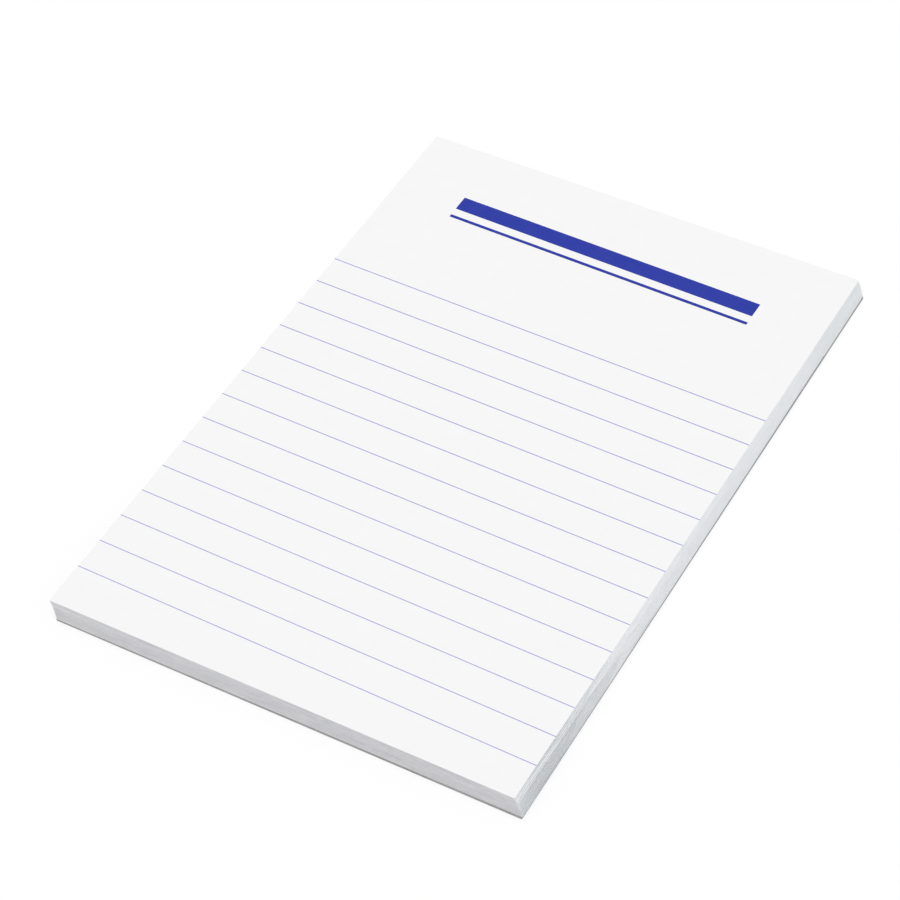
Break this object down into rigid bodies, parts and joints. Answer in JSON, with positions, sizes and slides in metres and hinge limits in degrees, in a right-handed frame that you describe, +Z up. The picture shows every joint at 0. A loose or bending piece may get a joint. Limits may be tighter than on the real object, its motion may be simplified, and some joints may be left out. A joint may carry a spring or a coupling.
{
  "type": "sticky note pad",
  "caption": "Ruled pad of repositionable paper notes in a slightly fanned stack, held at the head by adhesive, on a thin backing card.",
  "frame": {"origin": "middle of the pad's length and width, on the underside of the backing card", "axes": "+Z up from the underside to the writing surface, +Y along the sheet from the foot to the coated head, +X across the sheet to the right of someone who reads it"},
  "size_m": [0.103, 0.1526, 0.0055],
  "materials": {
    "sheets": "matte",
    "adhesive": "satin",
    "backing": "matte"
  },
  "bodies": {
    "root": {"sheet_block": "sheets", "adhesive_strip": "adhesive", "backing_card": "backing"}
  },
  "joints": []
}
